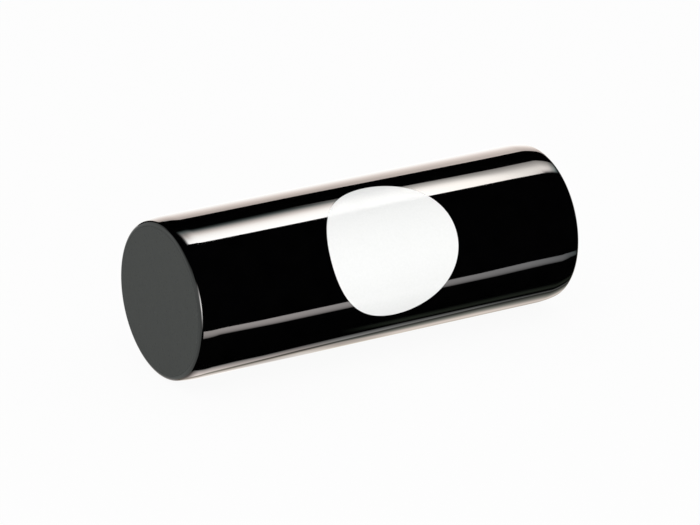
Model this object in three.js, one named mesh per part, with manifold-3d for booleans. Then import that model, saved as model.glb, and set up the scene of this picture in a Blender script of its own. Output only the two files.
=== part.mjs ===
import * as THREE from 'three';
import { mergeVertices } from 'three/addons/utils/BufferGeometryUtils.js';
import Module from 'manifold-3d';

// Percussion shaker: a lacquered tube closed by two flush plugs, with loose steel shot inside.
// Millimetres and degrees. The tube lies along X on the plane z = 0, with its middle at x = 0.

// Tube, drawn in a little towards each end
const TUBE_LENGTH = 127;
const TUBE_OD = 46.8;
const TUBE_WALL = 2;
const SHOULDER_LENGTH = 5.4;
const SHOULDER_DROP = 0.5;
const RIM_RADIUS = 1.2;
const BORE_CHAMFER = 0.08;

// End caps, moulded plugs whose faces lie flush with the tube's ends
const CAP_FACE_THICKNESS = 2;
const CAP_EDGE_RADIUS = 0.2;
const CAP_SKIRT_LENGTH = 10;
const CAP_SKIRT_WALL = 1.6;
const CAP_SKIRT_DRAFT = 0.25;
const CAP_CUP_FILLET = 1.2;
const CAP_LEAD_IN = 0.9;
const CAP_FIT_GAP = 0.1;
const CRUSH_RIB_COUNT = 12;
const CRUSH_RIB_HEIGHT = 0.5;
const CRUSH_RIB_WIDTH = 2.4;

// Round label, wrapped onto the side of the tube
const LABEL_DIAMETER = 42.5;
const LABEL_THICKNESS = 0.15;
const LABEL_ELEVATION = 27.5;
const LABEL_GAP = 0.1;

// Loose shot, in lanes side by side along the bottom of the bore
const SHOT_DIAMETER = 4.5;
const SHOT_GAP = 0.2;
const LANE_NAMES = ['a', 'b', 'c', 'd', 'e'];
const SHOT_PER_LANE = 8;

// Fineness of the round forms
const ROUND_SIDES = 64;
const FILLET_STEPS = 2;
const RIM_STEPS = 3;
const SHOULDER_STEPS = 2;
const RIB_ARC_STEPS = 4;
const LABEL_SIDES = 40;
const LABEL_RINGS = 6;
const SHOT_DETAIL = 2;

// Sizes that follow
const tubeRadius = TUBE_OD / 2;
const boreRadius = tubeRadius - TUBE_WALL;
const axisHeight = tubeRadius;
const plugRadius = boreRadius - CAP_FIT_GAP;
const skirtRadius = plugRadius - CRUSH_RIB_HEIGHT;
const cupRadius = skirtRadius - CAP_SKIRT_WALL;
const plugDepth = CAP_FACE_THICKNESS + CAP_SKIRT_LENGTH;
const shotPitch = SHOT_DIAMETER + SHOT_GAP;
const laneRadius = boreRadius - SHOT_DIAMETER / 2 - SHOT_GAP;
const laneAngle = 2 * Math.asin(shotPitch / (2 * laneRadius));

// The flats of a turned form lie at its true radius, so its corners lie a little outside it
const cornerFactor = 1 / Math.cos(Math.PI / ROUND_SIDES);

// Materials
const lacquer = new THREE.MeshStandardMaterial({ color: 0x060606, roughness: 0.08, metalness: 0 });
const mouldedPlastic = new THREE.MeshStandardMaterial({ color: 0x4a4c4a, roughness: 0.65, metalness: 0 });
const printedVinyl = new THREE.MeshStandardMaterial({ color: 0xf5f6f4, roughness: 0.4, metalness: 0 });
const brightSteel = new THREE.MeshStandardMaterial({ color: 0xb9bbbe, roughness: 0.25, metalness: 1 });

// Solids joined and cut
const wasm = await Module();
wasm.setup();

function toSolid(geometry) {
  const bare = geometry.clone();
  bare.deleteAttribute('normal');
  bare.deleteAttribute('uv');
  const merged = mergeVertices(bare);
  const vertProperties = new Float32Array(merged.attributes.position.array);
  const triVerts = new Uint32Array(merged.index.array);
  return new wasm.Manifold(new wasm.Mesh({ numProp: 3, vertProperties, triVerts }));
}

function toGeometry(solid) {
  const mesh = solid.getMesh();
  const geometry = new THREE.BufferGeometry();
  geometry.setAttribute('position', new THREE.BufferAttribute(mesh.vertProperties, 3));
  geometry.setIndex(new THREE.BufferAttribute(mesh.triVerts, 1));
  geometry.computeVertexNormals();
  return geometry;
}

// A profile is a list of [distance along X, radius]; it is turned about X with a flat underneath
function turned(profile) {
  const points = profile.map(([along, radius]) => new THREE.Vector2(radius * cornerFactor, along));
  const geometry = new THREE.LatheGeometry(points, ROUND_SIDES, Math.PI / ROUND_SIDES);
  geometry.rotateZ(-Math.PI / 2);
  return geometry;
}

// An arc about [along, radius], from one angle to the other
function arc(along, radius, size, fromDegrees, toDegrees, steps = FILLET_STEPS) {
  const points = [];
  for (let step = 0; step <= steps; step += 1) {
    const angle = THREE.MathUtils.degToRad(fromDegrees + (toDegrees - fromDegrees) * step / steps);
    points.push([along + size * Math.cos(angle), radius + size * Math.sin(angle)]);
  }
  return points;
}

// Shoulder: from the end plane at 0, round the rim's edge and up a shallow arc to the tube's full radius
function shoulderProfile() {
  const taperRadius = (SHOULDER_LENGTH ** 2 + SHOULDER_DROP ** 2) / (2 * SHOULDER_DROP);
  const lean = 2 * Math.atan2(SHOULDER_DROP, SHOULDER_LENGTH);
  const meeting = 90 + THREE.MathUtils.radToDeg(lean);
  const rimRadius = tubeRadius - SHOULDER_DROP - RIM_RADIUS * Math.cos(lean);
  const sideStart = RIM_RADIUS * (1 - Math.sin(lean)) + SHOULDER_LENGTH;
  const rim = arc(RIM_RADIUS, rimRadius, RIM_RADIUS, 180, meeting, RIM_STEPS);
  const taper = arc(sideStart, tubeRadius - taperRadius, taperRadius, meeting, 90, SHOULDER_STEPS);
  return [...rim, ...taper.slice(1)];
}

// Tube: open at both ends, with a shoulder at each and its bore edges broken
function tubeGeometry() {
  const end = TUBE_LENGTH / 2;
  const shoulder = shoulderProfile();
  const leftShoulder = shoulder.map(([inset, radius]) => [-end + inset, radius]);
  const rightShoulder = shoulder.map(([inset, radius]) => [end - inset, radius]).reverse();
  const profile = [
    [-end, boreRadius + BORE_CHAMFER],
    ...leftShoulder,
    ...rightShoulder,
    [end, boreRadius + BORE_CHAMFER],
    [end - BORE_CHAMFER, boreRadius],
    [-end + BORE_CHAMFER, boreRadius],
    [-end, boreRadius + BORE_CHAMFER],
  ];
  return turned(profile);
}

// Cap face: a disc with its rim rounded, its outer face at x = 0 and looking along -X
function capFaceGeometry() {
  const profile = [
    [0, 0],
    ...arc(CAP_EDGE_RADIUS, plugRadius - CAP_EDGE_RADIUS, CAP_EDGE_RADIUS, 180, 90),
    [CAP_FACE_THICKNESS, plugRadius],
    [CAP_FACE_THICKNESS, 0],
  ];
  return turned(profile);
}

// Skirt: a round section with crush ribs, drawn back from the middle of the face
function ribbedSkirtGeometry() {
  const section = new THREE.Shape();
  const ribHalfAngle = CRUSH_RIB_WIDTH / 2 / plugRadius;
  const ribStep = 2 * Math.PI / CRUSH_RIB_COUNT;
  for (let rib = 0; rib < CRUSH_RIB_COUNT; rib += 1) {
    const middle = rib * ribStep;
    section.absarc(0, 0, plugRadius, middle - ribHalfAngle, middle + ribHalfAngle, false);
    section.absarc(0, 0, skirtRadius, middle + ribHalfAngle, middle + ribStep - ribHalfAngle, false);
  }
  const start = CAP_FACE_THICKNESS / 2;
  const geometry = new THREE.ExtrudeGeometry(section, {
    depth: plugDepth - start,
    bevelEnabled: false,
    curveSegments: RIB_ARC_STEPS,
  });
  geometry.translate(0, 0, start);
  geometry.rotateY(Math.PI / 2);
  return geometry;
}

// Lead-in: a bore-sized blank, turned down at the plug's inner end so that it starts in the bore
function leadInGeometry() {
  const profile = [
    [0, 0],
    [0, boreRadius],
    [plugDepth - CAP_LEAD_IN, boreRadius],
    [plugDepth, boreRadius - CAP_LEAD_IN],
    [plugDepth, 0],
  ];
  return turned(profile);
}

// Cup: the hollow inside the skirt, with a moulding draft and a rounded floor edge
function cupGeometry() {
  const floorRadius = cupRadius - CAP_SKIRT_DRAFT;
  const filletX = CAP_FACE_THICKNESS + CAP_CUP_FILLET;
  const profile = [
    [CAP_FACE_THICKNESS, 0],
    ...arc(filletX, floorRadius - CAP_CUP_FILLET, CAP_CUP_FILLET, 180, 90),
    [plugDepth, cupRadius],
    [plugDepth + CAP_LEAD_IN, cupRadius],
    [plugDepth + CAP_LEAD_IN, 0],
  ];
  return turned(profile);
}

function capGeometry() {
  const skirt = toSolid(ribbedSkirtGeometry()).intersect(toSolid(leadInGeometry()));
  return toGeometry(toSolid(capFaceGeometry()).add(skirt).subtract(toSolid(cupGeometry())));
}

// Label: a flat disc in rings, then wrapped round the tube
function labelGeometry() {
  const radius = LABEL_DIAMETER / 2;
  const under = [];
  const over = [];
  for (let ring = 0; ring <= LABEL_RINGS; ring += 1) {
    const distance = radius * ring / LABEL_RINGS;
    under.push(new THREE.Vector2(distance, 0));
    over.push(new THREE.Vector2(distance, LABEL_THICKNESS));
  }
  const disc = new THREE.LatheGeometry([...under, ...over.reverse()], LABEL_SIDES);
  const seat = tubeRadius * cornerFactor + LABEL_GAP;
  const middle = THREE.MathUtils.degToRad(LABEL_ELEVATION);
  const position = disc.attributes.position;
  for (let i = 0; i < position.count; i += 1) {
    const angle = middle - position.getZ(i) / tubeRadius;
    const distance = seat + position.getY(i);
    position.setXYZ(i, position.getX(i), -distance * Math.cos(angle), distance * Math.sin(angle));
  }
  disc.computeVertexNormals();
  return disc;
}

const shaker = new THREE.Group();
shaker.position.z = axisHeight;

function place(name, geometry, material, x = 0, y = 0, z = 0, turn = 0) {
  const mesh = new THREE.Mesh(geometry, material);
  mesh.name = name;
  mesh.position.set(x, y, z);
  mesh.rotation.z = turn;
  shaker.add(mesh);
}

place('body_tube', tubeGeometry(), lacquer);
const cap = capGeometry();
place('left_end_cap', cap, mouldedPlastic, -TUBE_LENGTH / 2);
place('right_end_cap', cap, mouldedPlastic, TUBE_LENGTH / 2, 0, 0, Math.PI);
place('round_label', labelGeometry(), printedVinyl);

// Each lane is a straight row of shot, centred on the tube's length
const ball = new THREE.IcosahedronGeometry(SHOT_DIAMETER / 2, SHOT_DETAIL);
LANE_NAMES.forEach((lane, index) => {
  const angle = (index - (LANE_NAMES.length - 1) / 2) * laneAngle;
  for (let shot = 0; shot < SHOT_PER_LANE; shot += 1) {
    const x = (shot - (SHOT_PER_LANE - 1) / 2) * shotPitch;
    const name = `shot_${lane}${shot + 1}`;
    place(name, ball, brightSteel, x, laneRadius * Math.sin(angle), -laneRadius * Math.cos(angle));
  }
});

export default shaker;
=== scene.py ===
"""Percussion shaker: a gloss black tube with flush end plugs, a bare round label and loose steel shot.

Metres, in the part's own frame: the tube lies along X on z = 0, and its label looks towards -Y.
"""

import math

import bmesh
import bpy
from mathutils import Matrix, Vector, noise


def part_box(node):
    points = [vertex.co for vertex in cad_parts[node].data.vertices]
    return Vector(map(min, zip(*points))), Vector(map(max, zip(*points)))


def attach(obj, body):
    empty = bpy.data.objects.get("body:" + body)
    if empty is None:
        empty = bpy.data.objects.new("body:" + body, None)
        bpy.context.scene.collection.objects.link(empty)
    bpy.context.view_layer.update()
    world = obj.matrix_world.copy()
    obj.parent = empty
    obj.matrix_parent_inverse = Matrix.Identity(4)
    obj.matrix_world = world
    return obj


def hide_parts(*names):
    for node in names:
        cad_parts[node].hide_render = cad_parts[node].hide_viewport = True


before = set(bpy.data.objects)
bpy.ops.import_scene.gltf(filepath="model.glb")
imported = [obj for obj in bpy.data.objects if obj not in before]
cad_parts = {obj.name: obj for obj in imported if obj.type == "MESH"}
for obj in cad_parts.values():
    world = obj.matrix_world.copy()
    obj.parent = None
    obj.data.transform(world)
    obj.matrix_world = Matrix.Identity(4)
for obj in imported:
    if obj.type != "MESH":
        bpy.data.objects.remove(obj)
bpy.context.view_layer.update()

MM = 0.001

# Radius under which a ring is a single point
TINY = 1e-9

# Tube, as long and as wide as its solid
tube_low, tube_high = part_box("body_tube")
LENGTH = tube_high.x - tube_low.x
RADIUS = (tube_high.z - tube_low.z) / 2
WALL = 2 * MM
SHOULDER_LENGTH = 5.4 * MM
SHOULDER_DROP = 0.5 * MM
RIM_RADIUS = 1.2 * MM
BORE_CHAMFER = 0.02 * MM
RIM_STEPS = 14
TAPER_STEPS = 12
BARREL_STEPS = 30
TUBE_SIDES = 256
END = LENGTH / 2
BORE = RADIUS - WALL

# End plugs
FIT_GAP = 0.02 * MM
FACE_THICKNESS = 2 * MM
FACE_EDGE = 0.03 * MM
SKIRT_LENGTH = 10 * MM
SKIRT_WALL = 1.6 * MM
SKIRT_DRAFT = 0.25 * MM
CUP_FILLET = 1.2 * MM
LEAD_IN = 0.9 * MM
RIB_COUNT = 12
RIB_HEIGHT = 0.5 * MM
RIB_WIDTH = 2.4 * MM
FACE_STEPS = 10
EDGE_STEPS = 6
SKIRT_STEPS = 6
CUP_STEPS = 8
PLUG_SIDES = 288

# Label
LABEL_RADIUS = 21.05 * MM
LABEL_MIDDLE = 1.0 * MM
LABEL_THICKNESS = 0.14 * MM
LABEL_EDGE = 0.05 * MM
LABEL_SEAT = 0.02 * MM
LABEL_ELEVATION = math.radians(26.75)
LABEL_RINGS = 26
LABEL_EDGE_STEPS = 4
LABEL_SIDES = 192

# Shot
LANES = "abcde"
SHOT_PER_LANE = 8
SHOT_DENT = 0.012
DENT_FINENESS = 1.7
DENT_CHANGE = 900

# Camera
CAMERA_AIM = Vector((-0.6, 0.11, 22.8)) * MM
CAMERA_DISTANCE = 1376 * MM
CAMERA_AZIMUTH = math.radians(-32.0)
CAMERA_ELEVATION = math.radians(20.03)
CAMERA_LENS = 246.9
SENSOR_WIDTH = 36
CAMERA_CLIP = (0.05, 20)


# Mesh helpers

def new_object(name, mesh):
    piece = bpy.data.objects.new(name, mesh)
    bpy.context.scene.collection.objects.link(piece)
    return piece


def solid(name, points, faces, finish, sharp=28):
    """A closed smooth mesh that stays sharp where its faces meet at more than sharp degrees."""
    mesh = bpy.data.meshes.new(name)
    mesh.from_pydata([tuple(point) for point in points], [], faces)
    shape = bmesh.new()
    shape.from_mesh(mesh)
    bmesh.ops.recalc_face_normals(shape, faces=shape.faces)
    shape.to_mesh(mesh)
    shape.free()
    mesh.shade_smooth()
    mesh.set_sharp_from_angle(angle=math.radians(sharp))
    mesh.materials.append(finish)
    return new_object(name, mesh)


def arc(along, radius, size, start, stop, steps):
    """Points [x, radius] of an arc about a point of the turning profile, angles in degrees."""
    points = []
    for step in range(steps + 1):
        angle = math.radians(start + (stop - start) * step / steps)
        points.append((along + size * math.cos(angle), radius + size * math.sin(angle)))
    return points


def spaced(first, last, count):
    """Profile points between two others, without the two themselves."""
    steps = [step / (count + 1) for step in range(1, count + 1)]
    return [tuple(a + (b - a) * s for a, b in zip(first, last)) for s in steps]


def turned(profile, sides, closed, swell=None):
    """Points and faces of a profile [x, radius] turned about the tube's axis.

    swell(row, angle) adds to the radius of a row of the profile.
    """
    points, rings, faces = [], [], []
    for row, (x, radius) in enumerate(profile):
        if radius < TINY:
            rings.append([len(points)])
            points.append((x, 0.0, RADIUS))
            continue
        ring = []
        for side in range(sides):
            angle = 2 * math.pi * side / sides
            reach = radius + (swell(row, angle) if swell else 0.0)
            ring.append(len(points))
            points.append((x, -reach * math.cos(angle), RADIUS + reach * math.sin(angle)))
        rings.append(ring)
    pairs = list(zip(rings, rings[1:]))
    if closed:
        pairs.append((rings[-1], rings[0]))
    for one, two in pairs:
        for side in range(sides):
            after = (side + 1) % sides
            if len(one) > 1 and len(two) > 1:
                faces.append((one[side], one[after], two[after], two[side]))
            elif len(one) > 1:
                faces.append((one[side], one[after], two[0]))
            elif len(two) > 1:
                faces.append((one[0], two[after], two[side]))
    return points, faces


# Materials

# Span of the noise that a tone or a roughness follows
NOISE_LOW, NOISE_HIGH = 0.3, 0.7


def material(name):
    """A new node material, its node tree and its Principled shader."""
    made = bpy.data.materials.new(name)
    made.use_nodes = True
    return made, made.node_tree, made.node_tree.nodes["Principled BSDF"]


def node(tree, kind, **inputs):
    made = tree.nodes.new(kind)
    for key, value in inputs.items():
        made.inputs[key.replace("_", " ")].default_value = value
    return made


def grain(tree, scale, detail):
    """Noise in the part's own coordinates, scale in grains per metre."""
    place = tree.nodes.new("ShaderNodeTexCoord").outputs["Object"]
    made = node(tree, "ShaderNodeTexNoise", Scale=scale, Detail=detail)
    tree.links.new(place, made.inputs["Vector"])
    return made.outputs["Fac"]


def tinted(tree, value, low, high, socket):
    ramp = tree.nodes.new("ShaderNodeValToRGB")
    ramp.color_ramp.elements[0].position = NOISE_LOW
    ramp.color_ramp.elements[0].color = (*low, 1)
    ramp.color_ramp.elements[1].position = NOISE_HIGH
    ramp.color_ramp.elements[1].color = (*high, 1)
    tree.links.new(value, ramp.inputs["Fac"])
    tree.links.new(ramp.outputs["Color"], socket)


def ranged(tree, value, low, high, socket):
    span = node(tree, "ShaderNodeMapRange",
                From_Min=NOISE_LOW, From_Max=NOISE_HIGH, To_Min=low, To_Max=high)
    tree.links.new(value, span.inputs["Value"])
    tree.links.new(span.outputs["Result"], socket)


def bumped(tree, value, strength, depth, shader):
    bump = node(tree, "ShaderNodeBump", Strength=strength, Distance=depth)
    tree.links.new(value, bump.inputs["Height"])
    tree.links.new(bump.outputs["Normal"], shader.inputs["Normal"])


def textured(name, tones, tone_grain, roughness, roughness_grain, bump, bump_depth, bump_grain, constants):
    """A material whose tone, roughness and bump each follow a noise, given by its scale and detail."""
    made, tree, shader = material(name)
    tinted(tree, grain(tree, *tone_grain), *tones, shader.inputs["Base Color"])
    ranged(tree, grain(tree, *roughness_grain), *roughness, shader.inputs["Roughness"])
    bumped(tree, grain(tree, *bump_grain), bump, bump_depth, shader)
    for socket, value in constants.items():
        shader.inputs[socket].default_value = value
    return made


def lacquer():
    """Deep black gloss lacquer: a trace of orange peel and handling haze."""
    return textured("black_lacquer",
                    tones=((0.0004, 0.0004, 0.0005), (0.0008, 0.0008, 0.0009)), tone_grain=(160, 2),
                    roughness=(0.02, 0.05), roughness_grain=(90, 4),
                    bump=0.02, bump_depth=0.02 * MM, bump_grain=(900, 1),
                    constants={"IOR": 1.5})


def plug_plastic():
    """Dark grey moulded plastic with a fine even texture and a weak sheen."""
    return textured("grey_plastic",
                    tones=((0.0535, 0.0565, 0.0540), (0.0560, 0.0590, 0.0565)), tone_grain=(350, 3),
                    roughness=(0.26, 0.34), roughness_grain=(1200, 3),
                    bump=0.03, bump_depth=0.02 * MM, bump_grain=(5200, 2),
                    constants={"Specular IOR Level": 0.08, "IOR": 1.5})


def label_vinyl():
    """Smooth white vinyl with a weak gloss and a faint fibre in its face."""
    return textured("white_label",
                    tones=((0.875, 0.882, 0.872), (0.905, 0.910, 0.902)), tone_grain=(1500, 4),
                    roughness=(0.09, 0.13), roughness_grain=(260, 3),
                    bump=0.03, bump_depth=0.02 * MM, bump_grain=(3800, 3),
                    constants={"Specular IOR Level": 0.07, "IOR": 1.45})


def shot_steel():
    """Tumbled steel with small dents and dull patches."""
    return textured("steel_shot",
                    tones=((0.50, 0.51, 0.53), (0.62, 0.63, 0.64)), tone_grain=(700, 3),
                    roughness=(0.18, 0.40), roughness_grain=(1800, 3),
                    bump=0.15, bump_depth=0.05 * MM, bump_grain=(2600, 2),
                    constants={"Metallic": 1.0})


# Pieces

def shoulder():
    """Profile [inset, radius] from the end plane round the rim and up the taper to the full radius."""
    taper_radius = (SHOULDER_LENGTH ** 2 + SHOULDER_DROP ** 2) / (2 * SHOULDER_DROP)
    lean = 2 * math.atan2(SHOULDER_DROP, SHOULDER_LENGTH)
    meeting = 90 + math.degrees(lean)
    rim_radius = RADIUS - SHOULDER_DROP - RIM_RADIUS * math.cos(lean)
    side_start = RIM_RADIUS * (1 - math.sin(lean)) + SHOULDER_LENGTH
    rim = arc(RIM_RADIUS, rim_radius, RIM_RADIUS, 180, meeting, RIM_STEPS)
    taper = arc(side_start, RADIUS - taper_radius, taper_radius, meeting, 90, TAPER_STEPS)
    return rim + taper[1:]


def make_tube(finish):
    ends = shoulder()
    left = [(-END + inset, radius) for inset, radius in ends]
    right = [(END - inset, radius) for inset, radius in reversed(ends)]
    inner_right = (END - BORE_CHAMFER, BORE)
    inner_left = (-END + BORE_CHAMFER, BORE)
    profile = [(-END, BORE + BORE_CHAMFER), *left]
    profile += spaced(left[-1], right[0], BARREL_STEPS)
    profile += [*right, (END, BORE + BORE_CHAMFER), inner_right]
    profile += [*spaced(inner_right, inner_left, BARREL_STEPS), inner_left]
    points, faces = turned(profile, TUBE_SIDES, closed=True)
    return solid("lacquered_tube", points, faces, finish)


def make_plug(name, facing, finish):
    """A moulded cup with a flush face, crush ribs and a lead-in.

    facing is -1 at the left end and 1 at the right.
    """
    outer = BORE - FIT_GAP
    skirt = outer - RIB_HEIGHT
    cup = skirt - SKIRT_WALL
    depth = FACE_THICKNESS + SKIRT_LENGTH
    rim = arc(FACE_EDGE, outer - FACE_EDGE, FACE_EDGE, 180, 90, EDGE_STEPS)
    flat = (0.0, outer - 2 * FACE_EDGE)
    face = [(0.0, 0.0), *spaced((0.0, 0.0), flat, FACE_STEPS), flat, *rim, (FACE_THICKNESS, outer)]
    ribs_from = len(face)
    ribs_start = (FACE_THICKNESS, skirt)
    ribs_end = (depth - LEAD_IN, skirt)
    ribbed = [ribs_start, *spaced(ribs_start, ribs_end, SKIRT_STEPS), ribs_end]
    ribs_to = ribs_from + len(ribbed)
    cup_floor = cup - SKIRT_DRAFT
    middle = (FACE_THICKNESS, 0.0)
    fillet = arc(FACE_THICKNESS + CUP_FILLET, cup_floor - CUP_FILLET, CUP_FILLET, 90, 180, CUP_STEPS)
    inside = [(depth, skirt - LEAD_IN / 2), (depth, cup), *fillet]
    inside += [*spaced(fillet[-1], middle, CUP_STEPS), middle]
    profile = face + ribbed + inside
    rib_half = RIB_WIDTH / 2 / outer

    def rib(row, angle):
        if not ribs_from <= row < ribs_to:
            return 0.0
        step = 2 * math.pi / RIB_COUNT
        off = abs((angle + step / 2) % step - step / 2) / rib_half
        return RIB_HEIGHT * math.cos(off * math.pi / 2) if off < 1 else 0.0

    placed = [(facing * (END - inset), radius) for inset, radius in profile]
    points, faces = turned(placed, PLUG_SIDES, closed=False, swell=rib)
    return solid(name, points, faces, finish)


def make_label(finish):
    """A flat disc in rings, wrapped round the tube so that it is a circle when unrolled."""
    top = LABEL_THICKNESS
    edge = [(LABEL_RADIUS - LABEL_EDGE + x, top - LABEL_EDGE + y)
            for y, x in arc(0, 0, LABEL_EDGE, 90, 0, LABEL_EDGE_STEPS)]
    shares = [ring / LABEL_RINGS for ring in range(LABEL_RINGS + 1)]
    inner = edge[-1][0]
    profile = [(LABEL_RADIUS * share, 0.0) for share in shares]
    profile += edge
    profile += [(inner * (1 - share), top) for share in shares[1:]]
    points, rings, faces = [], [], []
    for reach, height in profile:
        count = 1 if reach < TINY else LABEL_SIDES
        out = RADIUS + LABEL_SEAT + height
        rings.append(range(len(points), len(points) + count))
        for side in range(count):
            turn = 2 * math.pi * side / LABEL_SIDES
            angle = LABEL_ELEVATION + reach * math.sin(turn) / RADIUS
            x = LABEL_MIDDLE + reach * math.cos(turn)
            points.append((x, -out * math.cos(angle), RADIUS + out * math.sin(angle)))
    for one, two in zip(rings, rings[1:]):
        for side in range(LABEL_SIDES):
            after = (side + 1) % LABEL_SIDES
            corners = [one[side % len(one)], one[after % len(one)],
                       two[after % len(two)], two[side % len(two)]]
            faces.append(tuple(dict.fromkeys(corners)))
    return solid("label_disc", points, faces, finish, sharp=50)


def make_lane(lane, finish):
    """One lane of balls as a single piece. Each is a little out of round, and no larger than its node."""
    points, faces = [], []
    nodes = [f"shot_{lane}{number + 1}" for number in range(SHOT_PER_LANE)]
    ball = bmesh.new()
    bmesh.ops.create_icosphere(ball, subdivisions=3, radius=1.0)
    ball.verts.ensure_lookup_table()
    unit = [vertex.co.copy() for vertex in ball.verts]
    corners = [tuple(vertex.index for vertex in face.verts) for face in ball.faces]
    ball.free()
    for name in nodes:
        low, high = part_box(name)
        middle, size = (low + high) / 2, (high.x - low.x) / 2
        start = len(points)
        for direction in unit:
            dent = noise.noise(direction * DENT_FINENESS + middle * DENT_CHANGE)
            points.append(middle + direction * size * (1 - SHOT_DENT * (0.5 + 0.5 * dent)))
        faces += [tuple(start + index for index in corner) for corner in corners]
    piece = solid(f"shot_lane_{lane}_balls", points, faces, finish, sharp=60)
    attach(piece, f"shot_lane_{lane}")
    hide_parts(*nodes)


tube = make_tube(lacquer())
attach(tube, "shell")
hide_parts("body_tube")

plastic = plug_plastic()
for side_name, facing in (("left", -1), ("right", 1)):
    plug = make_plug(f"{side_name}_plug", facing, plastic)
    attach(plug, "shell")
    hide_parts(f"{side_name}_end_cap")

label = make_label(label_vinyl())
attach(label, "shell")
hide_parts("round_label")

steel = shot_steel()
for lane in LANES:
    make_lane(lane, steel)


# Studio

# Heights at which the sheets on the floor lie over one another
FLAG_LIFT = 0.1 * MM
FACE_LIFT = 0.2 * MM
CARD_LIFT = 0.3 * MM
STRIP_LIFT = 0.4 * MM


def reflections_only(piece):
    """A card or flag that the gloss shows, and that neither lights nor hides anything else."""
    piece.visible_camera = False
    piece.visible_diffuse = False
    piece.visible_transmission = False
    piece.visible_volume_scatter = False
    piece.visible_shadow = False


def glow_material():
    made = bpy.data.materials.new("card_glow")
    made.use_nodes = True
    tree = made.node_tree
    tree.nodes.clear()
    colour = tree.nodes.new("ShaderNodeVertexColor")
    colour.layer_name = "glow"
    light = tree.nodes.new("ShaderNodeEmission")
    output = tree.nodes.new("ShaderNodeOutputMaterial")
    tree.links.new(colour.outputs["Color"], light.inputs["Color"])
    tree.links.new(light.outputs["Emission"], output.inputs["Surface"])
    made.cycles.emission_sampling = "NONE"
    return made


def flag_material():
    made, _, shader = material("flag_black")
    shader.inputs["Base Color"].default_value = (0, 0, 0, 1)
    shader.inputs["Specular IOR Level"].default_value = 0
    return made


GLOW = glow_material()
FLAG = flag_material()


def grid(name, columns, surface):
    """A sheet through rows of points, one list of points per column."""
    points = [point for column in columns for point in column]
    rows = len(columns[0])
    faces = []
    for left in range(len(columns) - 1):
        for low in range(rows - 1):
            start = left * rows + low
            faces.append((start, start + rows, start + rows + 1, start + 1))
    mesh = bpy.data.meshes.new(name)
    mesh.from_pydata(points, [], faces)
    mesh.materials.append(surface)
    piece = new_object(name, mesh)
    reflections_only(piece)
    return piece


def card(name, columns):
    """A glowing sheet. Each column is a list of points and a list of the light at each of them."""
    piece = grid(name, [points for points, _ in columns], GLOW)
    layer = piece.data.color_attributes.new("glow", "FLOAT_COLOR", "POINT")
    for entry, light in zip(layer.data, [light for _, lights in columns for light in lights]):
        entry.color = (*light, 1.0)


def lit(strength, tint):
    return tuple(strength * channel for channel in tint)


def between(low, high, share):
    return low + (high - low) * share


# Overhead softbox: its light thins out towards the back at the left, and stops at an edge at the right.
# A profile gives the share of the depth and the light there.
SOFTBOX_HEIGHT = 0.5
THINNING = ((0.0, 20.5), (0.10, 20.0), (0.17, 17.5), (0.25, 14.5), (0.35, 11.0), (0.45, 7.8), (0.58, 4.4),
            (0.70, 2.6), (0.80, 1.4), (0.90, 0.4), (1.0, 0.0))
FADING = ((0.0, 20.5), (0.107, 20.0), (0.213, 19), (0.335, 17.5), (0.441, 15.3), (0.571, 10.3), (0.70, 5.2),
          (0.772, 2.6), (0.845, 0.9), (0.921, 0.23), (1.0, 0.0))
STOPPING = ((0.0, 19.5), (0.10, 21), (0.20, 20.7), (0.30, 19.7), (0.40, 17.9), (0.50, 15.2), (0.60, 11.4),
            (0.70, 9.0), (0.85, 5.9), (0.97, 4.5), (1.0, 4.3))
ENDING = ((0.0, 0.6), (0.06, 6.0), (0.12, 12.5), (0.20, 17.5), (0.30, 19), (0.40, 17.9), (0.50, 15.2),
          (0.60, 11.8), (0.72, 9.0), (0.87, 6.2), (1.0, 4.3))
FADING_TINTS = (
    (1.0, 0.98, 0.96), (1.0, 0.98, 0.96), (1.0, 0.98, 0.955), (1.0, 0.97, 0.94), (1.0, 0.95, 0.905),
    (1.0, 0.91, 0.86), (1.0, 0.935, 0.88), (1.0, 1.0, 0.96), (1.0, 1.12, 1.09), (1.0, 1.3, 1.25),
    (1.0, 1.3, 1.25))
STOPPING_TINT = (1.0, 0.945, 0.89)
ENDING_TINT = (1.0, 0.93, 0.882)
TAIL_TINT = (1.0, 1.25, 1.22)
SOFTBOX_COLUMNS = (
    # near x, far x, near y, far y, share of the light, and profile: thinning at -1, fading at 0,
    # stopping at 1, ending at 2, ending and cooler up to 3
    (0.066, 0.088, 0.018, 0.280, 0.0, -1.0), (0.075, 0.098, 0.018, 0.280, 0.2, -1.0),
    (0.086, 0.108, 0.018, 0.280, 0.72, -1.0), (0.097, 0.122, 0.017, 0.280, 0.94, -1.0),
    (0.120, 0.138, 0.018, 0.280, 1.0, -1.0), (0.160, 0.165, 0.025, 0.290, 1.0, -0.6),
    (0.200, 0.200, 0.0265, 0.300, 1.0, -0.3), (0.245, 0.245, 0.019, 0.300, 1.0, 0.0),
    (0.300, 0.300, 0.0185, 0.335, 1.0, 0.0), (0.330, 0.330, 0.0135, 0.300, 0.93, 0.7),
    (0.345, 0.345, 0.0125, 0.280, 0.83, 1.0), (0.357, 0.357, 0.006, 0.268, 0.66, 1.0),
    (0.372, 0.380, 0.006, 0.254, 0.63, 1.5), (0.400, 0.430, 0.008, 0.262, 0.62, 2.0),
    (0.440, 0.560, 0.018, 0.282, 0.50, 2.0), (0.475, 0.585, 0.026, 0.285, 0.40, 2.05),
    (0.500, 0.610, 0.034, 0.278, 0.28, 2.15), (0.535, 0.640, 0.040, 0.272, 0.19, 2.4),
    (0.560, 0.665, 0.044, 0.270, 0.10, 2.8), (0.600, 0.695, 0.048, 0.270, 0.03, 3.0),
    (0.640, 0.730, 0.050, 0.270, 0.0, 3.0))


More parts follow.
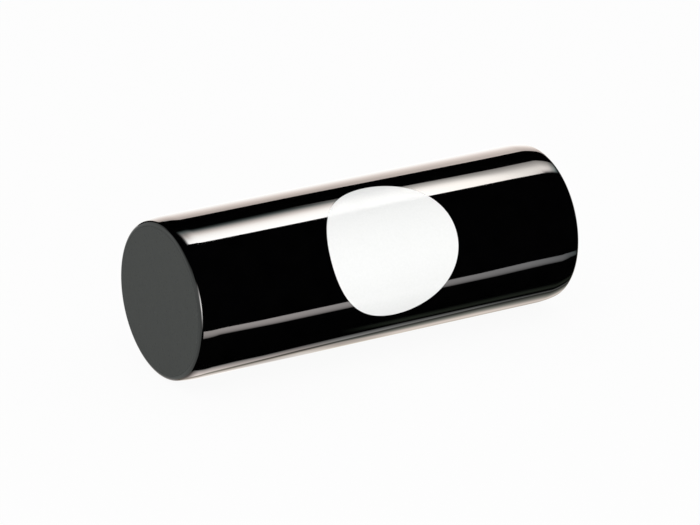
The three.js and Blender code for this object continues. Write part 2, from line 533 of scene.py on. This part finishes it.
def softbox_profile(profile):
    """Two profiles, the share of the second, and the tints."""
    if profile < 0:
        return FADING, THINNING, -profile, FADING_TINTS
    if profile <= 1:
        tints = FADING_TINTS if profile < 0.5 else [STOPPING_TINT] * len(STOPPING)
        return FADING, STOPPING, profile, tints
    if profile <= 2:
        return STOPPING, ENDING, profile - 1, [ENDING_TINT] * len(ENDING)
    cool = tuple(between(warm, cold, profile - 2) for warm, cold in zip(ENDING_TINT, TAIL_TINT))
    return ENDING, ENDING, 0, [cool] * len(ENDING)


def softbox_column(x, far_x, near, far, share, profile):
    """Points and light of one column, from the near edge to the far one."""
    first, second, blend, tints = softbox_profile(profile)
    points, lights = [], []
    for (one_at, one), (two_at, two), tint in zip(first, second, tints):
        depth = between(one_at, two_at, blend)
        points.append((between(x, far_x, depth), between(near, far, depth), RADIUS + SOFTBOX_HEIGHT))
        lights.append(lit(share * between(one, two, blend), tint))
    return points, lights


card("softbox", [softbox_column(*column) for column in SOFTBOX_COLUMNS])

# White card behind with the floor before it, warmer towards its top and brightest there at the right
BACK_Y = 0.6
BACK_HEIGHTS = (0.0, 0.06, 0.12, 0.20)
BACK_LIGHTS = (2.05, 2.3, 2.55, 2.68)
BACK_EDGE = 0.05
BACK_EDGE_LIGHT = 2.6
BACK_EDGE_SHARE = 0.4
BACK_COLUMNS = (
    # x, height, share of the light, light along the top
    (0.11, 0.28, 0.95, 2.3), (0.20, 0.315, 1.0, 2.3), (0.27, 0.355, 1.0, 2.45), (0.365, 0.358, 1.0, 2.6),
    (0.425, 0.394, 1.02, 3.3), (0.48, 0.416, 1.02, 3.7), (0.56, 0.385, 1.02, 2.8), (0.62, 0.372, 1.02, 2.7),
    (0.70, 0.41, 1.02, 2.6), (0.90, 0.41, 1.0, 2.6))
BACK_TINTS = ((1.0, 0.975, 0.945), (1.0, 0.957, 0.917), (1.0, 0.90, 0.85), (1.0, 0.88, 0.815),
              (1.0, 0.87, 0.80), (1.0, 0.87, 0.80))
BACK_FLOOR_X = (-0.05, 0.9)
BACK_FLOOR_ROWS = (
    # y, light
    (0.03, 1.2), (0.16, 1.4), (0.30, 1.75), (BACK_Y, 2.05))
BACK_FLOOR_TINT = (1.0, 0.985, 0.965)


def back_column(x, top, share, edge):
    """Points and light of one column, from the floor to the top."""
    heights = [*BACK_HEIGHTS, top - BACK_EDGE, top]
    strengths = [light * share for light in BACK_LIGHTS]
    strengths += [between(BACK_EDGE_LIGHT, edge, BACK_EDGE_SHARE), edge]
    lights = [lit(strength, tint) for strength, tint in zip(strengths, BACK_TINTS)]
    return [(x, BACK_Y, z) for z in heights], lights


def back_floor_column(x):
    """Points and light of one column, from close behind the tube to the card."""
    points = [(x, y, CARD_LIFT) for y, _ in BACK_FLOOR_ROWS]
    return points, [lit(glow, BACK_FLOOR_TINT) for _, glow in BACK_FLOOR_ROWS]


card("back_card", [back_column(*column) for column in BACK_COLUMNS])
card("back_floor", [back_floor_column(x) for x in BACK_FLOOR_X])

# Bright strip along the floor in front, stronger and warmer towards the left
STRIP_ACROSS = (
    # share of the width from the far edge, share of the light
    (0.0, 1.0), (0.3, 0.97), (0.5, 0.90), (0.65, 0.80), (0.8, 0.64), (0.92, 0.42), (1.0, 0.15))
STRIP_COLUMNS = (
    # x, far edge, near edge, light, tint
    (-0.0605, -0.0592, -0.0440, 6.2, (1.0, 0.92, 0.89)), (-0.044, -0.0577, -0.0448, 6.0, (1.0, 0.92, 0.89)),
    (-0.024, -0.0545, -0.0425, 6.1, (1.0, 0.92, 0.90)), (0.020, -0.0535, -0.0418, 4.8, (1.0, 0.945, 0.935)),
    (0.051, -0.0524, -0.0410, 3.5, (1.0, 0.97, 0.97)), (0.069, -0.0541, -0.0421, 3.1, (1.0, 0.99, 1.0)),
    (0.085, -0.0531, -0.0411, 1.62, (1.0, 1.05, 1.07)), (0.093, -0.0489, -0.0377, 0.95, (1.0, 1.15, 1.18)),
    (0.097, -0.0466, -0.0385, 0.38, (1.0, 1.25, 1.2)), (0.101, -0.0455, -0.0400, 0.0, (1.0, 1.25, 1.2)))


def strip_column(x, far, near, glow, tint):
    """Points and light of one column, from the far edge to the near one."""
    points = [(x, between(far, near, across), STRIP_LIFT) for across, _ in STRIP_ACROSS]
    return points, [lit(glow * share, tint) for _, share in STRIP_ACROSS]


card("front_strip", [strip_column(*column) for column in STRIP_COLUMNS])

# Low panel at the front left with a fan of floor before it, which the near rim shows
FAN_X, FAN_Y = -0.063, -0.015
FAN_TINT = (1.0, 0.975, 0.96)
FAN_COLUMNS = (
    # turn from -X towards -Y, share of the light
    (24, 0.06), (34, 0.17), (44, 0.5), (52, 1.3), (60, 1.6), (65, 1.2), (68, 0.6), (70, 0.0))
FAN_ROWS = (
    # distance, light
    (0.052, 0.55), (0.0625, 1.5), (0.085, 3.3), (0.127, 7.0), (0.20, 8.5), (0.50, 11.5), (0.85, 13.0))
PANEL_DISTANCE = 0.85
PANEL_ROWS = (
    # height, light
    (0.10, 14.0), (0.23, 11.0), (0.29, 7.0), (0.36, 4.2), (0.45, 2.2), (0.55, 0.3), (0.62, 0.0))
# Least light of the floor at the fan's left, up to a turn
FAN_LEAST = 1.05
FAN_LEAST_TO = 50


def fan_column(turn, share):
    """Points and light of one column, out along the floor and up the panel."""
    angle = math.radians(turn)
    places = [(distance, STRIP_LIFT) for distance, _ in FAN_ROWS]
    places += [(PANEL_DISTANCE, height) for height, _ in PANEL_ROWS]
    points = [(FAN_X - distance * math.cos(angle), FAN_Y - distance * math.sin(angle), height)
              for distance, height in places]
    least = FAN_LEAST if turn < FAN_LEAST_TO else 0
    glows = [max(glow * share, least) for _, glow in FAN_ROWS]
    glows += [glow * share for _, glow in PANEL_ROWS]
    return points, [lit(glow, FAN_TINT) for glow in glows]


card("left_panel", [fan_column(*column) for column in FAN_COLUMNS])

# Light under the tube, which edges its lower side: a sheen in front and a dim line that runs askew, a
# painted contact shadow
UNDER_COLUMNS = (
    # x, front edge, dim line of painted shadow, full light behind it, light before the line, in it, behind
    # it and last, sheen
    (-0.0645, -0.0156, -0.0080, -0.0069, 0.75, 0.75, 0.80, 0.9, 0.0),
    (-0.0605, -0.0156, -0.0088, -0.0077, 0.80, 0.80, 1.15, 1.2, 0.0),
    (-0.0576, -0.0156, -0.0106, -0.0095, 3.3, 0.85, 1.65, 1.5, 0.0),
    (-0.0550, -0.0157, -0.0112, -0.0101, 2.85, 0.85, 1.60, 1.5, 0.0),
    (-0.0450, -0.0161, -0.0118, -0.0103, 2.2, 0.55, 1.55, 1.55, 0.0),
    (-0.0360, -0.0159, -0.0123, -0.0110, 2.05, 0.36, 1.45, 1.3, 0.0),
    (-0.0236, -0.0165, -0.0131, -0.0114, 1.6, 0.27, 1.95, 1.1, 0.0),
    (-0.0100, -0.0169, -0.0136, -0.0124, 1.25, 0.24, 1.42, 1.0, 0.0),
    (0.010, -0.0172, -0.0143, -0.0109, 1.05, 0.22, 1.85, 1.0, 0.14),
    (0.037, -0.0172, -0.0151, -0.0109, 1.05, 0.16, 1.95, 0.78, 0.12),
    (0.055, -0.0170, -0.0154, -0.0105, 0.65, 0.13, 1.60, 0.66, 0.13),
    (0.120, -0.0172, -0.0158, -0.0105, 0.30, 0.13, 1.60, 0.66, 0.08))
UNDER_TINTS = ((0.85, 1.05, 0.78),) * 4 + (
    (1.0, 1.05, 1.0), (1.0, 1.03, 1.0), (1.0, 1.0, 0.97), (1.0, 0.98, 0.95), (1.0, 1.06, 0.92),
    (1.0, 1.06, 0.92), (1.0, 1.0, 0.88), (1.0, 0.87, 0.79), (1.0, 0.88, 0.80), (1.0, 0.91, 0.79),
    (1.0, 0.91, 0.79))
UNDER_LEFT_TINTS = ((1.0, 0.95, 0.92),) * 6 + (
    (1.0, 0.90, 0.855), (1.0, 0.88, 0.83), (1.0, 0.94, 0.80), (1.0, 0.94, 0.80), (1.0, 0.91, 0.80),
    (1.0, 0.885, 0.79), (1.0, 0.92, 0.86), (1.0, 0.95, 0.91), (1.0, 0.95, 0.9))
UNDER_LEFT_TO = -20 * MM
SHEEN_ROWS = (
    # y, share of the sheen
    (-0.0214, 0.0), (-0.0191, 1.0), (-0.0184, 0.6), (-0.0178, 0.0))
FRONT_ROWS = (
    # distance behind the front edge, share of the light before the line
    (0.0, 0.0), (0.0005, 0.48), (0.0013, 0.74))
# Places round the dim line of painted shadow and behind it, and shares of the light behind it
LINE_BEFORE = 0.9 * MM
LINE_FRONT = 0.4 * MM
LINE_BACK = 0.2 * MM
RISE_SHARE = 0.45
BEHIND_STEP = 0.8 * MM
BEHIND_SHARE = 0.92
LAST_FROM = -7.8 * MM
UNDER_BACK_Y, UNDER_BACK_LIGHT = 30 * MM, 0.9


def under_column(x, start, line, rise, bright, shadow_light, behind, last, sheen):
    """Points and light of one column, from the sheen in front over the dim line of painted shadow to the
    back.
    """
    rows = [(y, share * sheen) for y, share in SHEEN_ROWS]
    rows += [(start + step, share * bright) for step, share in FRONT_ROWS]
    # The dim rows are painted shadow: the tube's contact shadow on the floor, as the gloss shows it
    rows += [(line - LINE_BEFORE, bright), (line - LINE_FRONT, shadow_light), (line + LINE_BACK, shadow_light)]
    rows += [(between(line, rise, 0.5), RISE_SHARE * behind), (rise, behind)]
    rows += [(rise + BEHIND_STEP, BEHIND_SHARE * behind), (max(LAST_FROM, rise + 2 * BEHIND_STEP), last)]
    rows.append((UNDER_BACK_Y, UNDER_BACK_LIGHT))
    tints = UNDER_LEFT_TINTS if x < UNDER_LEFT_TO else UNDER_TINTS
    return [(x, y, CARD_LIFT) for y, _ in rows], [lit(glow, tint) for (_, glow), tint in zip(rows, tints)]


card("under_card", [under_column(*column) for column in UNDER_COLUMNS])

# Floor at the near end, a little greyer, which the end's flat ring and rim show
FACE_ROWS = (
    # x, y and light at the right edge, at the edge of what the flat ring shows, beyond it and at the left
    ((-0.30, -0.20, 1.3), (-0.32, -0.20, 1.3), (-0.36, -0.20, 1.3), (-0.6, -0.20, 1.4)),
    ((-0.093, -0.06, 1.1), (-0.105, -0.06, 1.1), (-0.125, -0.06, 1.2), (-0.6, -0.06, 1.4)),
    ((-0.088, -0.0405, 1.0), (-0.097, -0.0405, 1.05), (-0.120, -0.0405, 1.1), (-0.6, -0.0405, 1.4)),
    ((-0.0715, -0.024, 0.90), (-0.085, -0.024, 1.0), (-0.110, -0.024, 1.1), (-0.6, -0.024, 1.4)),
    ((-0.0645, -0.0155, 0.80), (-0.078, -0.0155, 0.93), (-0.103, -0.0155, 1.05), (-0.6, -0.0155, 1.4)),
    ((-0.0605, -0.005, 0.76), (-0.072, -0.005, 0.86), (-0.100, -0.005, 1.05), (-0.6, -0.005, 1.4)),
    ((-0.0605, 0.004, 0.66), (-0.074, 0.004, 0.61), (-0.098, 0.004, 1.0), (-0.6, 0.004, 1.4)),
    ((-0.0605, 0.035, 0.68), (-0.0985, 0.035, 0.57), (-0.125, 0.035, 0.95), (-0.6, 0.05, 1.3)),
    ((-0.0605, 0.064, 0.66), (-0.1145, 0.064, 0.575), (-0.145, 0.068, 0.90), (-0.6, 0.12, 1.2)),
    ((-0.0605, 0.108, 0.62), (-0.129, 0.109, 0.63), (-0.165, 0.125, 0.80), (-0.6, 0.35, 1.0)),
    ((-0.0605, 0.128, 0.68), (-0.140, 0.135, 0.70), (-0.175, 0.155, 0.76), (-0.6, 0.45, 0.9)),
    ((-0.0605, 0.300, 0.72), (-0.140, 0.320, 0.72), (-0.220, 0.330, 0.76), (-0.6, 0.62, 0.8)))
NEAR_TINT = (1.0, 1.05, 1.02)


def face_column(column):
    return [(x, y, FACE_LIFT) for x, y, _ in column], [lit(glow, NEAR_TINT) for _, _, glow in column]


card("face_card", [face_column(column) for column in zip(*FACE_ROWS)])

# Curved white wall to the left behind the near end, whose light thins out towards its top
WALL_X, WALL_Y, WALL_RADIUS = -0.063, -0.01, 0.55
WALL_RISES = (0, 14, 26, 36, 44, 52)
WALL_COLUMNS = (
    # turn from -X towards +Y, light at each rise
    (38, (1.1, 1.25, 1.4, 1.2, 0.7, 0)), (50, (1.05, 1.15, 1.2, 1.0, 0.55, 0)),
    (58, (0.85, 0.90, 0.90, 0.75, 0.4, 0)), (64, (0.72, 0.75, 0.75, 0.6, 0.3, 0)),
    (80, (0.65, 0.65, 0.65, 0.5, 0.25, 0)))


def wall_column(turn, glows):
    """Points and light of one column, from the floor up."""
    angle = math.radians(turn)
    x = WALL_X - WALL_RADIUS * math.cos(angle)
    y = WALL_Y + WALL_RADIUS * math.sin(angle)
    points = [(x, y, WALL_RADIUS * math.tan(math.radians(rise))) for rise in WALL_RISES]
    return points, [lit(glow, NEAR_TINT) for glow in glows]


card("left_wall", [wall_column(*column) for column in WALL_COLUMNS])

# Small white card close to the near end, which the near rim shows
RIM_CARD_X = -0.0935
RIM_CARD_LOW = 0.028
RIM_FADE_STEPS = 8
RIM_COLUMNS = (
    # y, light low down, light where it starts to fade, height there, height where it ends
    (-0.038, 1.45, 1.6, 0.046, 0.082), (-0.028, 1.45, 1.35, 0.042, 0.074),
    (-0.018, 1.35, 1.2, 0.038, 0.078), (-0.008, 1.3, 1.1, 0.045, 0.086), (0.002, 1.2, 1.18, 0.062, 0.090),
    (0.012, 1.1, 1.38, 0.064, 0.094), (0.025, 1.0, 1.46, 0.064, 0.104))


def rim_column(y, low, high, fade, top):
    """Points and light of one column: an even change up to where the fade starts, then the fade."""
    shares = [step / RIM_FADE_STEPS for step in range(RIM_FADE_STEPS + 1)]
    heights = [RIM_CARD_LOW, *(between(fade, top, share) for share in shares)]
    glows = [low, *(high * (1 - share) for share in shares)]
    return [(RIM_CARD_X, y, z) for z in heights], [lit(glow, NEAR_TINT) for glow in glows]


card("rim_card", [rim_column(*column) for column in RIM_COLUMNS])

# Black flags: on the floor in front, behind at the left, and a hood over the top with a left end of its own
FRONT_FLAG_Y = -1.6
FRONT_FLAG_EDGE = ((-1.6, -1.0), (-0.40, -0.25), (-0.12, -0.07), (-0.09, -0.009), (1.6, -0.009))
BACK_FLAG_X = (-0.2, 0.2)
BACK_FLAG_Y = 0.62
BACK_FLAG_HEIGHT = 0.8
HOOD_RADIUS = 1.5
HOOD_FROM, HOOD_TO = -6, 153
HOOD_STEPS = 32
HOOD_TILTS = range(1, 133, 6)
LEFT_HOOD_RISES = range(-1, 90, 10)
LEFT_HOOD_TURNS = range(-52, 81, 6)


def hood_column(tilt):
    """Points of one arc over the tube, from the front to low behind, tilt degrees off its axis."""
    along = HOOD_RADIUS * math.cos(math.radians(tilt))
    across = HOOD_RADIUS * math.sin(math.radians(tilt))
    points = []
    for step in range(HOOD_STEPS + 1):
        angle = math.radians(between(HOOD_FROM, HOOD_TO, step / HOOD_STEPS))
        points.append((along, -across * math.cos(angle), RADIUS + across * math.sin(angle)))
    return points


def left_hood_column(turn):
    """Points of one upright arc of the hood's left end, turned from -X towards +Y."""
    angle = math.radians(turn)
    points = []
    for rise in LEFT_HOOD_RISES:
        out = HOOD_RADIUS * math.cos(math.radians(rise))
        height = HOOD_RADIUS * math.sin(math.radians(rise))
        points.append((-out * math.cos(angle), out * math.sin(angle), height))
    return points


grid("front_flag", [[(x, FRONT_FLAG_Y, FLAG_LIFT), (x, y, FLAG_LIFT)] for x, y in FRONT_FLAG_EDGE], FLAG)
grid("back_left_flag", [[(x, BACK_FLAG_Y, z) for z in (0.0, BACK_FLAG_HEIGHT)] for x in BACK_FLAG_X], FLAG)
grid("hood_flag", [hood_column(tilt) for tilt in HOOD_TILTS], FLAG)
grid("left_hood_flag", [left_hood_column(turn) for turn in LEFT_HOOD_TURNS], FLAG)

# Floor: part of its white is its own, for the camera and the gloss, and the lit rest keeps the shadow
FLOOR_HALF = 4.0
FLOOR_CORNERS = [(x * FLOOR_HALF, y * FLOOR_HALF, 0) for x, y in ((-1, -1), (1, -1), (1, 1), (-1, 1))]
FLOOR_TONES = ((0.925, 0.925, 0.925), (0.935, 0.935, 0.935))
FLOOR_GRAIN = (3, 2)
OWN_WHITE = 0.94


def seen_rays(tree):
    """1 for rays from the camera, from gloss and through glass, and 0 for the rays that light things."""
    path = tree.nodes.new("ShaderNodeLightPath")
    result = path.outputs["Is Camera Ray"]
    for kind in ("Is Glossy Ray", "Is Transmission Ray"):
        either = tree.nodes.new("ShaderNodeMath")
        either.operation = "MAXIMUM"
        tree.links.new(result, either.inputs[0])
        tree.links.new(path.outputs[kind], either.inputs[1])
        result = either.outputs[0]
    return result


def paper_white(tree, shader):
    share = tree.nodes.new("ShaderNodeMath")
    share.operation = "MULTIPLY"
    share.inputs[1].default_value = OWN_WHITE
    tree.links.new(seen_rays(tree), share.inputs[0])
    own = node(tree, "ShaderNodeEmission", Color=(1, 1, 1, 1), Strength=1.0)
    mix = tree.nodes.new("ShaderNodeMixShader")
    tree.links.new(share.outputs[0], mix.inputs[0])
    tree.links.new(shader.outputs[0], mix.inputs[1])
    tree.links.new(own.outputs[0], mix.inputs[2])
    tree.links.new(mix.outputs[0], tree.nodes["Material Output"].inputs["Surface"])


floor_finish, floor_tree, floor_shader = material("floor_white")
tinted(floor_tree, grain(floor_tree, *FLOOR_GRAIN), *FLOOR_TONES, floor_shader.inputs["Base Color"])
floor_shader.inputs["Roughness"].default_value = 0.9
floor_shader.inputs["Specular IOR Level"].default_value = 0.0
paper_white(floor_tree, floor_shader)
floor_mesh = bpy.data.meshes.new("floor")
floor_mesh.from_pydata(FLOOR_CORNERS, [], [(0, 1, 2, 3)])
floor_mesh.materials.append(floor_finish)
floor = new_object("floor", floor_mesh)


def lamp(name, place, aim, size, watts):
    """A soft area lamp that lights surfaces. The cards, not the lamps, show in the gloss."""
    data = bpy.data.lights.new(name, "AREA")
    data.shape = "RECTANGLE"
    data.size, data.size_y = size
    data.energy = watts
    made = new_object(name, data)
    made.location = place
    made.rotation_euler = (Vector(aim) - Vector(place)).to_track_quat("-Z", "Y").to_euler()
    made.visible_glossy = False
    made.visible_camera = False


TUBE_MIDDLE = (0, 0, RADIUS)
lamp("key_lamp", place=(-0.3, -0.5, 1.3), aim=TUBE_MIDDLE, size=(1.4, 1.2), watts=4.6)
lamp("fill_lamp", place=(-0.5, -1.3, 0.06), aim=TUBE_MIDDLE, size=(1.0, 0.1), watts=7.7)

# World: white behind everything that is seen, and an even fill for everything that is lit
AMBIENT = 0.6
world = bpy.data.worlds.new("studio")
world.use_nodes = True
bpy.context.scene.world = world
sky = world.node_tree
sky.nodes.clear()
white = node(sky, "ShaderNodeBackground", Color=(1, 1, 1, 1), Strength=1.0)
fill = node(sky, "ShaderNodeBackground", Color=(1, 1, 1, 1), Strength=AMBIENT)
mix = sky.nodes.new("ShaderNodeMixShader")
sky_output = sky.nodes.new("ShaderNodeOutputWorld")
sky.links.new(seen_rays(sky), mix.inputs[0])
sky.links.new(fill.outputs[0], mix.inputs[1])
sky.links.new(white.outputs[0], mix.inputs[2])
sky.links.new(mix.outputs[0], sky_output.inputs["Surface"])

# Camera
lens = bpy.data.cameras.new("camera")
lens.lens = CAMERA_LENS
lens.sensor_width = SENSOR_WIDTH
lens.clip_start, lens.clip_end = CAMERA_CLIP
camera = new_object("camera", lens)
level = math.cos(CAMERA_ELEVATION)
towards = Vector((math.sin(CAMERA_AZIMUTH) * level, -math.cos(CAMERA_AZIMUTH) * level,
                  math.sin(CAMERA_ELEVATION)))
camera.location = CAMERA_AIM + towards * CAMERA_DISTANCE
camera.rotation_euler = (-towards).to_track_quat("-Z", "Y").to_euler()
bpy.context.scene.camera = camera
bpy.context.scene.view_settings.view_transform = "Standard"
